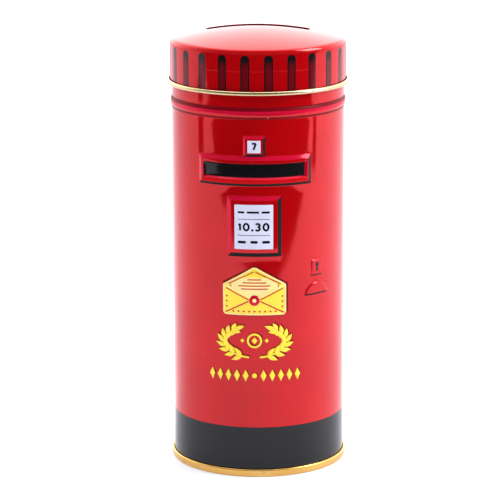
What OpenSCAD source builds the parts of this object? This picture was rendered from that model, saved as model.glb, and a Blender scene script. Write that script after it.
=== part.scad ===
// Cylindrical tin money box with a pull-off domed lid.
// Three pressed sheet-metal pieces: a rolled body tube with embossed panels, a
// double-seamed base and a drawn slip lid with a coin slot and a rolled edge.
// +Z is up, the front with the panels faces -Y, and the origin is the centre of
// the face that the tin stands on.

/* [Tin] */
// Outside diameter of the body tube
body_d = 66; // [50:0.5:100]
// Height from the table to the top of the dome
tin_h = 169.3; // [150:0.1:300]
// Thickness of the tinplate
sheet_t = 0.3; // [0.2:0.05:0.4]

/* [Lid] */
// Height of the lid, from its rolled edge to the top of the dome
lid_h = 21.8; // [16:0.2:30]
// Free radius between the body tube and the lid's wall
lid_fit = 0.35; // [0.2:0.05:0.6]
// Radius of the domed crown
crown_r = 118; // [80:1:400]
// Outside radius of the turn from the crown into the wall
shoulder_r = 2; // [1.6:0.1:4]
// Outside radius of the rolled lower edge
curl_r = 0.85; // [0.7:0.05:1.5]
// How far the lid sits turned on the body, in degrees
lid_turn = 0; // [-15:0.5:15]

/* [Coin slot] */
// Length of the coin slot
slot_l = 39; // [25:0.5:42]
// Width of the coin slot
slot_w = 4.4; // [3:0.1:8]
// Corner radius of the coin slot
slot_corner_r = 1.4; // [0.3:0.1:1.5]
// Depth of the safe edge that is folded down around the slot
slot_lip = 1.4; // [0.6:0.1:3]

/* [Body tube] */
// Distance from the lid's rolled edge down to the crest of the bead
bead_drop = 6.9; // [5:0.1:15]
// Height of the bead along the tube
bead_h = 4; // [2:0.1:6]
// How far the bead stands out
bead_out = 0.5; // [0.2:0.05:1]
// Outside radius of the edge that is rolled in at the top of the tube
rim_r = 0.8; // [0.7:0.05:1.2]
// Width of the lock seam at the back
seam_w = 4; // [3:0.1:6]
// Depth of the line that the lock seam leaves outside
seam_line = 0.15; // [0.05:0.05:0.15]

/* [Embossed panels] */
// How far the frames stand out of the tube
emboss = 0.75; // [0.4:0.05:1]
// Width of the sloping edge of the posting-slot frame and the collection plate
bevel = 1.5; // [0.5:0.1:1.6]
// Width of the sloping edge of the number plate
number_bevel = 0.9; // [0.5:0.1:1.4]
// Distance from the bead's crest down to the top of the number plate
plate_drop = 8.3; // [5:0.05:20]
// Width of the number plate
number_w = 8.3; // [6:0.1:12]
// Height of the number plate
number_h = 7.7; // [6:0.1:12]
// Width around the tube of the posting-slot frame
posting_w = 45.2; // [25:0.5:60]
// Height of the posting-slot frame
posting_h = 11.3; // [8:0.1:16]
// Width of the sunk panel in the posting-slot frame
posting_well_w = 39.2; // [16:0.1:54]
// Height of the sunk panel in the posting-slot frame
posting_well_h = 4.9; // [2:0.1:9]
// Distance from the posting-slot frame down to the collection plate
collection_drop = 3.85; // [1:0.05:12]
// Width of the collection plate
collection_w = 20.5; // [14:0.1:30]
// Height of the collection plate
collection_h = 23.1; // [14:0.1:30]
// How far the shallow reliefs stand out of the tube
shallow = 0.35; // [0.2:0.05:0.5]
// Distance from the collection plate down to the emblem
emblem_drop = 4.1; // [1:0.1:15]
// Width of the emblem
emblem_w = 24; // [15:0.1:32]
// Height of the emblem
emblem_h = 18.5; // [12:0.1:24]

/* [Lock] */
// Distance around the tube from the front to the keyhole
lock_arc = 25.6; // [15:0.1:35]
// Width of the keyhole plate
lock_w = 5.4; // [4:0.1:8]
// Height of the keyhole plate
lock_h = 6.1; // [4:0.1:8]
// Distance from the collection plate down to the keyhole plate
lock_drop = 2.75; // [1:0.05:10]
// Width of the half-round finger pull
pull_w = 11.4; // [9.2:0.1:14]
// Height of the half-round finger pull
pull_h = 4.6; // [3:0.1:6]
// Distance from the keyhole plate down to the top of the finger pull
pull_drop = 2.7; // [1:0.05:6]

/* [Base] */
// Height of the double seam
base_seam_h = 2.9; // [2.4:0.1:6]
// Gap between the layers of the double seam
layer_gap = 0.02; // [0.01:0.01:0.05]
// Height of the base panel above the table
base_recess = 3.8; // [3.5:0.1:8]
// Outside radius of the turn from the base panel into the seam
base_turn_r = 1.1; // [0.8:0.1:2]
// Radius of the stiffening ring pressed into the base
ring_r = 24; // [12:0.5:24]
// Outside radius of that ring's half-round section
ring_bead_r = 1.2; // [0.8:0.1:2]
// Depth of the flat worn land that the seam stands on
land = 0.08; // [0.04:0.01:0.12]

/* [Hidden] */
$fn = 96;
red = [0.72, 0.02, 0.05];
gold = [0.88, 0.62, 0.28];
far = 2 * tin_h;      // longer than anything that is cut
body_r = body_d / 2;
tube_in_r = body_r - sheet_t;

// Lid: the shoulder's arc touches both the crown and the wall
lid_bottom = tin_h - lid_h;
lid_in_r = body_r + lid_fit;
lid_r = lid_in_r + sheet_t;
crown_z = tin_h - crown_r;
shoulder_x = lid_r - shoulder_r;
shoulder_z = crown_z + sqrt(pow(crown_r - shoulder_r, 2) - pow(shoulder_x, 2));
shoulder_touch = shoulder_x * crown_r / (crown_r - shoulder_r);

// Tube: the rolled top edge is level with the shoulder's arc, so it clears it by lid_fit
rim_z = shoulder_z;
bead_z = lid_bottom - bead_drop;
bead_arc_r = (pow(bead_h / 2, 2) + pow(bead_out, 2)) / (2 * bead_out);
bead_x = body_r + bead_out - bead_arc_r;

// Double seam, from the inside: base wall, tube wall, base hook, tube hook, outer wall
layer = sheet_t + layer_gap;
base_wall_r = tube_in_r - layer_gap;
tube_hook_in = body_r + layer + layer_gap;
tube_turn_x = (body_r + tube_hook_in) / 2;
tube_turn_in = (tube_hook_in - body_r) / 2;
outer_in = tube_hook_in + layer;
base_turn_x = (base_wall_r + outer_in) / 2;
base_turn_in = (outer_in - base_wall_r) / 2;
base_turn_out = base_turn_in + sheet_t;
turn_z = base_turn_out - land;
hook_x = (body_r + layer_gap + outer_in + sheet_t) / 2;
hook_out = (outer_in + sheet_t - body_r - layer_gap) / 2;
hook_z = base_seam_h - hook_out;

// Heights of the embossed panels, each measured from the one above it
number_top = bead_z - plate_drop;
posting_top = number_top - number_h;
collection_top = posting_top - posting_h - collection_drop;
collection_bottom = collection_top - collection_h;
emblem_top = collection_bottom - emblem_drop;
lock_top = collection_bottom - lock_drop;
pull_top = lock_top - lock_h - pull_drop;
pull_r = (pow(pull_w / 2, 2) + pow(pull_h, 2)) / (2 * pull_h);
well_lean = 0.8;      // the sunk panel's edges are steeper than the frame's

// Half of a circular band of tinplate: a bend of 180 degrees, up or down
module bend(inner, upper) {
    difference() {
        circle(r = inner + sheet_t);
        circle(r = inner);
        translate([-far, upper ? -2 * far : 0]) square(2 * far);
    }
}

// Upright strip of tinplate with its inner face at x
module strip(x, low, high) {
    translate([x, low]) square([sheet_t, high - low]);
}

// Block bent round the tube from radius low_r to high_r. width and height are measured
// at the tube's surface, and the four edges lean in by lean for each unit further out.
module bent_block(width, height, low_r, high_r, lean) {
    function edge(r) = width / 2 - lean * (r - body_r);
    function corner(r) = r * [cos(edge(r) / r * 180 / PI), sin(edge(r) / r * 180 / PI)];
    low = corner(low_r);
    high = corner(high_r);
    rise = [lean * (low_r - body_r), lean * (high_r - body_r)];
    intersection() {
        rotate([0, 0, -90]) rotate_extrude(angle = 180)
            polygon([[low_r, rise[0]], [high_r, rise[1]], [high_r, height - rise[1]], [low_r, height - rise[0]]]);
        translate([0, 0, -far / 2]) linear_extrude(far) {
            side = 2 * high - low;    // the edge carried on past the outer face
            polygon([[0, 0], [low.x, -low.y], [side.x, -side.y], 2 * [side.x, -side.y],
                     2 * side, side, low]);
        }
    }
}

// Turns children that face +X to the front, or arc further round the tube
module at_front(z, arc = 0) {
    translate([0, 0, z]) rotate([0, 0, -90 + arc / body_r * 180 / PI]) children();
}

// The pressed-out shapes. inset is 0 for the outer face of the sheet and sheet_t for its
// inner face, which lies that much lower and has outlines that much smaller.
module reliefs(inset) {
    root = inset > 0 ? tube_in_r - sheet_t : body_r - sheet_t / 2;
    module plate(top, width, height, out, lean, arc = 0) {
        at_front(top - height + inset, arc)
            bent_block(width - 2 * inset, height - 2 * inset, root, body_r + out - inset, lean);
    }
    plate(number_top, number_w, number_h, emboss, number_bevel / emboss);
    plate(collection_top, collection_w, collection_h, emboss, bevel / emboss);
    difference() {
        plate(posting_top, posting_w, posting_h, emboss, bevel / emboss);
        at_front(posting_top - (posting_h + posting_well_h) / 2 - inset)
            bent_block(posting_well_w + 2 * inset, posting_well_h + 2 * inset,
                       body_r - inset, body_r + 2 * emboss, -well_lean);
    }
    plate(emblem_top, emblem_w, emblem_h, shallow, 1);
    plate(lock_top, lock_w, lock_h, shallow, 1, lock_arc);
    at_front(pull_top - pull_h, lock_arc) finger_pull(inset, root);
}

// Half-round pull: a disc that faces outwards, cut level along its lower edge
module finger_pull(inset, root) {
    intersection() {
        difference() {
            cylinder(r = body_r + shallow - inset, h = pull_h);
            translate([0, 0, -1]) cylinder(r = root, h = pull_h + 2);
        }
        translate([0, 0, pull_h - pull_r]) rotate([0, 90, 0]) cylinder(r = pull_r - inset, h = far);
        translate([0, -pull_r, inset]) cube([far, 2 * pull_r, pull_h]);
    }
}

// Sheet of the tube: wall, bead, rolled top edge and the hook for the double seam
module tube_section() {
    difference() {
        union() {
            strip(tube_in_r, turn_z, rim_z);
            intersection() {
                translate([bead_x, bead_z]) circle(r = bead_arc_r);
                translate([tube_in_r, bead_z - bead_h / 2]) square([sheet_t + bead_out, bead_h]);
            }
        }
        translate([bead_x, bead_z]) circle(r = bead_arc_r - sheet_t);
    }
    translate([body_r - rim_r, rim_z]) difference() {
        circle(r = rim_r);
        circle(r = rim_r - sheet_t);
        translate([0, -rim_r]) square(rim_r);
    }
    translate([tube_turn_x, turn_z]) bend(tube_turn_in, false);
    strip(tube_hook_in, turn_z, hook_z);
}

// Section of the base: panel with a pressed ring, turned wall, outer wall and hook
module base_section() {
    panel_top = base_recess;
    panel_low = panel_top - sheet_t;
    difference() {
        translate([0, panel_low]) square([base_wall_r - base_turn_r, sheet_t]);
        translate([ring_r, panel_low]) circle(r = ring_bead_r - sheet_t / 2);
    }
    translate([ring_r, panel_low]) difference() {
        circle(r = ring_bead_r);
        circle(r = ring_bead_r - sheet_t);
        translate([-far, -2 * far]) square(2 * far);
    }
    translate([base_wall_r - base_turn_r, panel_top - base_turn_r]) intersection() {
        difference() {
            circle(r = base_turn_r);
            circle(r = base_turn_r - sheet_t);
        }
        square(base_turn_r);
    }
    strip(base_wall_r - sheet_t, turn_z, panel_top - base_turn_r);
    intersection() {
        translate([base_turn_x, turn_z]) bend(base_turn_in, false);
        square(far);
    }
    strip(outer_in, turn_z, hook_z);
    translate([hook_x, hook_z]) bend(hook_out - sheet_t, true);
    strip(body_r + layer_gap, turn_z + sheet_t + layer, hook_z);
}

// Filled half-section of the lid, less inset all over: crown, shoulder and wall
module lid_section(inset) {
    intersection() {
        translate([0, crown_z]) circle(r = crown_r - inset, $fn = 4 * $fn);
        translate([0, shoulder_z - shoulder_r]) square([shoulder_touch * (crown_r - inset) / crown_r, far]);
    }
    translate([shoulder_x, shoulder_z]) circle(r = shoulder_r - inset);
    translate([0, lid_bottom + curl_r]) square([lid_r - inset, shoulder_z - lid_bottom - curl_r]);
}

// Outline of the coin slot, grown all round
module slot_outline(grow) {
    corner = slot_corner_r + grow;
    for (x = [-1, 1], y = [-1, 1])
        translate([x * (slot_l / 2 - slot_corner_r), y * (slot_w / 2 - slot_corner_r)]) circle(r = corner);
    square([slot_l - 2 * slot_corner_r, slot_w + 2 * grow], center = true);
    square([slot_l + 2 * grow, slot_w - 2 * slot_corner_r], center = true);
}

module body_shell() {
    color(red) difference() {
        union() {
            rotate_extrude() tube_section();
            reliefs(0);
            lock_seam();
        }
        reliefs(sheet_t);
        at_front(base_seam_h, PI * body_r) translate([body_r - seam_line, -seam_line, 0])
            cube([2 * seam_line, 2 * seam_line, rim_z - base_seam_h - rim_r]);
    }
}

// Folded lock seam inside the back of the tube, clear of the base and the lid's rim
module lock_seam() {
    low = base_recess + sheet_t;
    side = (seam_w / 2) / body_r * 180 / PI;
    translate([0, 0, low]) rotate([0, 0, 90 - side]) rotate_extrude(angle = 2 * side)
        translate([tube_in_r - 2 * sheet_t, 0]) square([2.5 * sheet_t, bead_z - bead_h - low]);
}

module base_end() {
    color(gold) difference() {
        rotate_extrude() base_section();
        translate([0, 0, -far]) cylinder(r = far, h = far);
    }
}

module lid_cap() {
    color(red) rotate([0, 0, lid_turn]) difference() {
        union() {
            rotate_extrude() lid_sheet();
            intersection() {
                linear_extrude(tin_h) slot_outline(sheet_t);
                difference() {
                    translate([0, 0, crown_z]) sphere(r = crown_r - sheet_t / 2);
                    translate([0, 0, crown_z]) sphere(r = crown_r - slot_lip);
                }
            }
        }
        linear_extrude(far) slot_outline(0);
    }
}

// Sheet of the lid: the crown and wall, and the edge that is rolled outwards
module lid_sheet() {
    difference() {
        intersection() {
            lid_section(0);
            square(far);
        }
        lid_section(sheet_t);
    }
    translate([lid_in_r + curl_r, lid_bottom + curl_r]) difference() {
        circle(r = curl_r);
        circle(r = curl_r - sheet_t);
        translate([-curl_r, 0]) square(curl_r);
    }
}

body_shell();
base_end();
lid_cap();
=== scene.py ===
"""Looks of a cylindrical tin money box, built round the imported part.

Lengths in the functions below are millimetres, and make_piece turns them into
metres. A place on the tube's wall is (arc, z): the distance round the tube from the
front, which faces -Y, and the height above the table.
"""

import math

import bmesh
import bpy
import numpy as np
from bpy.props import FloatProperty, FloatVectorProperty, IntProperty, PointerProperty
from mathutils import Matrix, Vector


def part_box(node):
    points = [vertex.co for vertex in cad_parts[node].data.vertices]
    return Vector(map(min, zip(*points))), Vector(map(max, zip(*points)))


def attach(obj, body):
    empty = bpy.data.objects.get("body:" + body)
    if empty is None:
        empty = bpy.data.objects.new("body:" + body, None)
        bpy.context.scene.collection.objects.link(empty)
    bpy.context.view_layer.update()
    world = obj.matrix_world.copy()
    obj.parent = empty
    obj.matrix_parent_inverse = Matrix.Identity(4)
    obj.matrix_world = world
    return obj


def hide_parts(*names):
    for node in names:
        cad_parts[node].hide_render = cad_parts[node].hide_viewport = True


bl_info = {
    "name": "Tin money box",
    "version": (1, 0, 0),
    "blender": (4, 5, 0),
    "location": "3D Viewport > Sidebar > Tin box",
    "description": "Lacquered surfaces, prints and studio stage of a tin money box",
    "category": "Object",
}

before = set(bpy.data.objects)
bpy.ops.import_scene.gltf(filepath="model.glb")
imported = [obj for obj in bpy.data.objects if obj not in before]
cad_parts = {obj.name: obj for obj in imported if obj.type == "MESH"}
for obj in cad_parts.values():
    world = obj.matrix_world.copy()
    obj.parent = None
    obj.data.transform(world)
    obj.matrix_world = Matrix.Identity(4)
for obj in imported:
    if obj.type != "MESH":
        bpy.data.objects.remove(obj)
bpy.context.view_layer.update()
MM = 0.001

BODY_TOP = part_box("body_shell")[1][2] / MM
SEAM_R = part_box("base_end")[1][0] / MM
LID_LOW, LID_HIGH = (np.array(corner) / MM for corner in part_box("lid_cap"))

# The double seam's lower turns are centred FOOT_Z above the table, its upper ones
# HOOK_DROP below the seam's top. The base panel's pressed ring has radius RING_R.
FOOT_Z, HOOK_DROP, RING_R = 0.71, 0.47, 24

# What stands on the front: (width, height), and each drop is from the edge above.
NUMBER_DROP, NUMBER_SIZE, NUMBER_BEVEL = 8.3, (8.3, 7.7), 0.9
POSTING_SIZE = (45.2, 11.3)
WELL_SIZE = (39.2, 4.9)
COLLECTION_DROP, COLLECTION_SIZE = 3.85, (20.5, 23.1)
LOCK_DROP, LOCK_SIZE, LOCK_ARC = 2.75, (5.4, 6.1), 25.6
PULL_DROP, PULL_HIGH, PULL_HALF = 2.7, 4.6, 5.7
SHALLOW_EDGE = 0.35
EMBLEM_DROP, SPRAY_DROP, ROW_DROP = 4.1, 36.45, 42.25

# How far prints stand on the wall, from the lowest layer to the highest, and how deep
# the back of a print is in the sheet.
GROUND, LINE, FIGURE, RAISED = 0.02, 0.03, 0.05, 0.06
PRINT_DEPTH = 0.06


# ---------------------------------------------------------------- sizes and colours


def length(name, description, default):
    """A size property that is set in metres and has a default in millimetres."""
    return FloatProperty(
        name=name, description=description, default=default * MM, unit="LENGTH", precision=5
    )


def colour(name, description, default):
    """A linear colour property."""
    return FloatVectorProperty(
        name=name, description=description, default=default, subtype="COLOR", size=3,
        min=0, max=1,
    )


class TinSizes(bpy.types.PropertyGroup):
    """Sizes of the sheet metal and of what is pressed into it."""

    sheet: length("Sheet", "Thickness of the tinplate", 0.3)
    layer_gap: length("Layer gap", "Gap between the layers of the double seam", 0.02)
    curl: length("Curl radius", "Outside radius of the lid's rolled edge", 0.85)
    crown: length("Crown radius", "Radius of the lid's dome", 118)
    shoulder: length("Shoulder radius", "Turn from the dome into the lid's wall", 2)
    slot_length: length("Slot length", "Length of the coin slot", 39)
    slot_width: length("Slot width", "Width of the coin slot", 4.4)
    slot_corner: length("Slot corner", "Corner radius of the coin slot", 1.4)
    slot_lip: length("Slot lip", "Depth of the edge folded down round the slot", 1.4)
    rim: length("Rim radius", "Outside radius of the tube's rolled-in top edge", 0.8)
    bead_drop: length("Bead drop", "From the lid's edge down to the bead's crest", 6.9)
    bead_height: length("Bead height", "Height of the bead along the tube", 4)
    bead_out: length("Bead out", "How far the bead stands out", 0.5)
    emboss: length("Emboss", "How far the frames stand out of the tube", 0.75)
    shallow: length("Shallow relief", "How far the shallow reliefs stand out", 0.35)
    bevel: length("Bevel", "Width of the frames' sloping edges", 1.5)
    seam_height: length("Seam height", "Height of the double seam", 2.9)
    base_recess: length("Base recess", "Height of the base panel above the table", 3.8)
    band_top: length("Foot band top", "Height of the printed black band", 19.55)


class TinColours(bpy.types.PropertyGroup):
    """Linear colours of the lacquers and print inks."""

    red: colour("Red lacquer", "Ground colour of the tube and lid", (0.515, 0.0006, 0.003))
    gold: colour("Gold lacquer", "Lacquer on the base", (0.75, 0.47, 0.145))
    tin: colour("Clear lacquer", "Pale lacquer inside and on the lid's edge", (0.62, 0.53, 0.33))
    black: colour("Black ink", "Foot band, slits and shaded bevels", (0.005, 0.0055, 0.006))
    white: colour("White ink", "Label cards", (0.68, 0.70, 0.86))
    yellow: colour("Yellow ink", "Ornament and lozenges", (0.97, 0.75, 0.05))
    pale: colour("Pale yellow ink", "Edges of the ornament", (0.95, 0.80, 0.30))
    # Crimson prints fold lines and outlines, and paints highlights on the lit bevels and the bead's
    # crest.
    crimson: colour("Crimson ink", "Lit bevels and fold lines", (0.60, 0.003, 0.032))
    shade: colour("Shade ink", "Printed shadows", (0.17, 0.001, 0.005))
    slot: colour("Slot lip", "Shaded lacquer in the coin slot", (0.07, 0.001, 0.011))
    slit: colour("Slit glow", "Lower part of the slits' middles", (0.13, 0.001, 0.006))


class StageSettings(bpy.types.PropertyGroup):
    """Levels of the studio and the place of the camera."""

    front_level: FloatProperty(
        name="Front level", description="Brightness of the room in front", default=0.2, min=0
    )
    back_level: FloatProperty(
        name="Back level", description="Brightness of the room behind", default=2.6, min=0
    )
    samples_round: IntProperty(
        name="Divisions", description="Divisions round a turned piece", default=256, min=64, max=512
    )
    distance: length("Camera distance", "Level distance from the camera to the tin", 973.7)
    height: length("Camera height", "Height of the camera above the table", 308.26)
    azimuth: FloatProperty(
        name="Azimuth", description="Turn of the camera round the tin",
        default=math.radians(2.64), subtype="ANGLE",
    )
    pitch: FloatProperty(
        name="Pitch", description="Downward tilt of the camera",
        default=math.radians(13.122), subtype="ANGLE",
    )
    aim: FloatProperty(
        name="Aim", description="Turn of the camera to the left of the tin's axis",
        default=math.radians(0.1905), subtype="ANGLE",
    )
    roll: FloatProperty(
        name="Roll", description="Clockwise roll of the camera",
        default=math.radians(0.157), subtype="ANGLE",
    )
    lens: FloatProperty(
        name="Lens", description="Focal length on a 36 mm sensor", default=185.57, min=10
    )


def sizes():
    """The size properties as a dictionary of millimetres."""
    group = bpy.context.scene.tin_sizes
    return {key: getattr(group, key) / MM for key in TinSizes.__annotations__}


class Tin:
    """Places that follow from the frame's boxes and the sizes, in millimetres."""

    def __init__(self):
        size = sizes()
        self.size = size
        self.sheet = size["sheet"]
        layer = self.sheet + size["layer_gap"]
        self.seam_r = SEAM_R
        self.body_r = self.seam_r - 3 * layer
        self.lid_in_r = LID_HIGH[0] - 2 * size["curl"]
        self.lid_r = self.lid_in_r + self.sheet
        self.lid_low = LID_LOW[2]
        self.rim_z = BODY_TOP - size["rim"]
        self.bead_z = self.lid_low - size["bead_drop"]
        self.shoulder_x = self.lid_r - size["shoulder"]
        reach = size["crown"] - size["shoulder"]
        self.crown_z = self.rim_z - math.sqrt(reach**2 - self.shoulder_x**2)
        self.layer = layer

        emboss, shallow, bevel = size["emboss"], size["shallow"], size["bevel"]
        self.number = Plate(self.bead_z - NUMBER_DROP, NUMBER_SIZE, emboss, NUMBER_BEVEL)
        self.posting = Plate(self.number.low, POSTING_SIZE, emboss, bevel)
        well_top = (self.posting.low + self.posting.high + WELL_SIZE[1]) / 2
        self.well = Plate(well_top, WELL_SIZE, emboss, 0.8 * emboss)
        self.collection = Plate(self.posting.low - COLLECTION_DROP, COLLECTION_SIZE, emboss, bevel)
        lock_top = self.collection.low - LOCK_DROP
        self.lock = Plate(lock_top, LOCK_SIZE, shallow, SHALLOW_EDGE, LOCK_ARC)
        self.plates = (self.number, self.posting, self.collection, self.lock)
        self.emblem_top = self.collection.low - EMBLEM_DROP
        self.spray_low = self.emblem_top - SPRAY_DROP
        self.row_z = self.emblem_top - ROW_DROP
        self.pull_top = self.lock.low - PULL_DROP
        self.pull_low = self.pull_top - PULL_HIGH
        self.pull_r = (PULL_HALF**2 + PULL_HIGH**2) / (2 * PULL_HIGH)


class Plate:
    """A bevelled rectangle on the tube's wall: upper edge, width and height, how far
    it stands out, width of its bevel, and how far round the tube its middle is."""

    def __init__(self, high, size, out, bevel, middle=0):
        self.width, self.high, self.low = size[0], high, high - size[1]
        self.middle, self.out, self.bevel = middle, out, bevel

    def inside(self, arc, z):
        """Distance inside the nearest edge, rounded where two edges meet."""
        across = self.width / 2 - np.abs(arc - self.middle)
        along = soft_min(z - self.low, self.high - z, 0.2)
        return soft_min(across, along, 0.2)

    def rise(self, arc, z):
        """Height of the plate: 0 outside, then up its bevel to the flat face."""
        return self.out * soft_ramp(self.inside(arc, z) / self.bevel)

    def sides(self, inset=0.0):
        """Left, right, low and high edges, moved inwards by inset."""
        half = self.width / 2 - inset
        return self.middle - half, self.middle + half, self.low + inset, self.high - inset


def soft_min(a, b, blend):
    """The lesser of a and b, with a smooth change between them as wide as blend."""
    return 0.5 * (a + b - np.sqrt((a - b) ** 2 + blend**2))


def soft_ramp(t, blend=0.1):
    """0 below t = 0, t up to 1 and 1 above it, with both corners rounded by blend."""
    return 0.5 * (1 + np.sqrt(t**2 + blend**2) - np.sqrt((1 - t) ** 2 + blend**2))


def relief(tin, arc, z):
    """How far the wall stands out at (arc, z): the highest of the plates, with the
    posting frame lowered to the wall inside its well, or the finger pull's step."""
    posting = tin.posting.rise(arc, z)
    well = tin.well
    outside = -soft_min(
        well.width / 2 - np.abs(arc), soft_min(z - well.low, well.high - z, 0.1), 0.1
    )
    posting = np.minimum(posting, well.out * soft_ramp(outside / well.bevel))
    rise = np.maximum(tin.number.rise(arc, z), tin.collection.rise(arc, z))
    rise = np.maximum(np.maximum(rise, posting), tin.lock.rise(arc, z))
    return np.maximum(rise, pull_rise(tin, arc, z))


def pull_rise(tin, arc, z):
    """The finger pull: a low flat step inside its arc and above its level edge."""
    away = np.hypot(arc - tin.lock.middle, z - (tin.pull_top - tin.pull_r))
    edge = soft_min(tin.pull_r - away, z - tin.pull_low, 0.1)
    return tin.size["shallow"] * soft_ramp(edge / SHALLOW_EDGE)


def bead_rise(tin, z):
    """The bead: a circular arc that crosses the wall at its two edges."""
    half, out = tin.size["bead_height"] / 2, tin.size["bead_out"]
    radius = (half**2 + out**2) / (2 * out)
    arc = np.sqrt(np.clip(radius**2 - (z - tin.bead_z) ** 2, 0, None)) + out - radius
    return np.where(np.abs(z - tin.bead_z) < half + 1, 0.5 * (arc + np.hypot(arc, 0.05)), 0)


# ---------------------------------------------------------------- meshes


def on_tube(radius, arc, z, body_r):
    """Points at (arc, z) and the given radius: the arc is an angle of arc / body_r."""
    angle = arc / body_r
    return np.stack(
        np.broadcast_arrays(radius * np.sin(angle), -radius * np.cos(angle), z), axis=-1
    )


def turned(profile, steps):
    """A profile of (radius, z) carried round the axis in equal steps."""
    angle = np.linspace(0, 2 * np.pi, steps, endpoint=False)[:, None]
    radius, z = profile[:, 0][None, :], profile[:, 1][None, :]
    x, y = radius * np.sin(angle), -radius * np.cos(angle)
    return np.stack([x, y, np.broadcast_to(z, x.shape)], axis=-1)


def arc_points(centre, radius, start, end, count):
    """Points on a circle from one angle to another, in degrees."""
    angle = np.radians(np.linspace(start, end, count))
    return np.stack(
        [centre[0] + radius * np.cos(angle), centre[1] + radius * np.sin(angle)], axis=-1
    )


def line_points(start, end, count):
    """Evenly spaced points on a straight line."""
    share = np.linspace(0, 1, count)[:, None]
    return np.asarray(start) * (1 - share) + np.asarray(end) * share


def joined(*runs):
    """Runs of points put end to end, with repeated points left out."""
    points = np.concatenate(runs)
    step = np.hypot(*np.diff(points, axis=0).T)
    return points[np.concatenate([[True], step > 1e-4])]


def both_faces(centreline, thickness):
    """The two faces of a sheet: its centreline moved half a thickness to each side,
    along the normal of the line through each point's neighbours."""
    along = np.gradient(centreline, axis=0)
    along /= np.linalg.norm(along, axis=1, keepdims=True)
    normal = np.stack([along[:, 1], -along[:, 0]], axis=-1)
    return centreline + normal * thickness / 2, centreline - normal * thickness / 2


def grid_lines(low, high, step, bands):
    """Sorted grid lines: even ones, and each band's own ones, which win where close."""
    fine = np.concatenate([np.linspace(a, b, count) for a, b, count in bands])
    even = np.linspace(low, high, int(round((high - low) / step)) + 1)
    near = np.abs(even[:, None] - fine[None, :]).min(axis=1)
    ends = (even == low) | (even == high)
    return np.unique(np.round(np.concatenate([even[(near > 0.35 * step) | ends], fine]), 5))


def slab(outer, inner, ring):
    """Closed solid between two grids of points of the same shape: a face for each
    grid cell on both, and a strip of faces along each free edge. ring joins the last
    row to the first. Returns points, faces and how many faces are outer and inner."""
    rows, columns = outer.shape[:2]
    points = np.concatenate([outer.reshape(-1, 3), inner.reshape(-1, 3)])
    index = np.arange(rows * columns).reshape(rows, columns)
    if ring:
        index = np.vstack([index, index[:1]])
    a, b = index[:-1, :-1].ravel(), index[1:, :-1].ravel()
    c, d = index[1:, 1:].ravel(), index[:-1, 1:].ravel()
    far = rows * columns
    faces = [np.stack([a, b, c, d], 1), np.stack([d, c, b, a], 1) + far]
    for edge, turn in ((index[:, 0], 1), (index[:, -1], -1)):
        p, q = (edge[:-1], edge[1:])[::turn]
        faces.append(np.stack([q, p, p + far, q + far], 1))
    if not ring:
        for edge, turn in ((index[0], -1), (index[-1], 1)):
            p, q = (edge[:-1], edge[1:])[::turn]
            faces.append(np.stack([q, p, p + far, q + far], 1))
    return points, np.concatenate(faces), len(a)


def outward(points, faces):
    """The faces, all turned over if the solid that they close has negative volume."""
    a, b, c, d = (points[faces[:, k]] for k in range(4))
    volume = np.einsum("ij,ij->i", np.cross(b - a, c - a), a).sum()
    volume += np.einsum("ij,ij->i", np.cross(c - a, d - a), a).sum()
    return faces[:, ::-1] if volume < 0 else faces


def in_scene(name, data):
    """A new object of the scene, at the origin."""
    thing = bpy.data.objects.new(name, data)
    bpy.context.scene.collection.objects.link(thing)
    return thing


def make_piece(name, slabs, body, materials, double=False, lip=0):
    """Joins slabs into one mesh object in the frame, with its doubles merged and its
    edges of over 35 degrees sharp, and puts it on its body. With double set, inner
    faces take the second material; the first lip columns of outer faces the third."""
    points, faces, marks = [], [], []
    start = 0
    for outer, inner, ring in slabs:
        p, f, count = slab(np.asarray(outer, float), np.asarray(inner, float), ring)
        points.append(p)
        faces.append(outward(p, f) + start)
        mark = np.zeros(len(f), int)
        if double:
            mark[count:2 * count] = 1
            mark[:count][np.arange(count) % (np.shape(outer)[1] - 1) < lip] = 2
        marks.append(mark)
        start += len(p)
    points, faces = np.concatenate(points) * MM, np.concatenate(faces)
    mesh = bpy.data.meshes.new(name)
    mesh.from_pydata(points, [], faces.tolist())
    mesh.polygons.foreach_set("material_index", np.concatenate(marks))
    tidy = bmesh.new()
    tidy.from_mesh(mesh)
    bmesh.ops.remove_doubles(tidy, verts=tidy.verts, dist=2e-7)
    bmesh.ops.dissolve_degenerate(tidy, edges=tidy.edges, dist=1e-7)
    tidy.to_mesh(mesh)
    tidy.free()
    mesh.shade_smooth()
    mesh.set_sharp_from_angle(angle=math.radians(35))
    for material in materials:
        mesh.materials.append(material)
    piece = in_scene(name, mesh)
    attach(piece, body)
    return piece


def printed(name, slabs, key):
    """A print on the tube in one ink."""
    make_piece(name, slabs, "box", [finish_of(key)])


def wafer(tin, low_edge, high_edge, across, lift=GROUND, dome=0.0, ring=False):
    """A thin print on the wall between two edges, each a row of (arc, z). Its face is
    lift above the wall, and dome more than that midway between the edges."""
    share = np.linspace(0, 1, across)[None, :, None]
    flat = low_edge[:, None, :] * (1 - share) + high_edge[:, None, :] * share
    arc, z = flat[..., 0], flat[..., 1]
    bulge = dome * np.sqrt(np.clip(1 - (2 * share[..., 0] - 1) ** 2, 0, 1))
    wall = tin.body_r + relief(tin, arc, z) + bead_rise(tin, z)
    outer = on_tube(wall + lift + bulge, arc, z, tin.body_r)
    inner = on_tube(wall - PRINT_DEPTH, arc, z, tin.body_r)
    return outer, inner, ring


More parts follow.
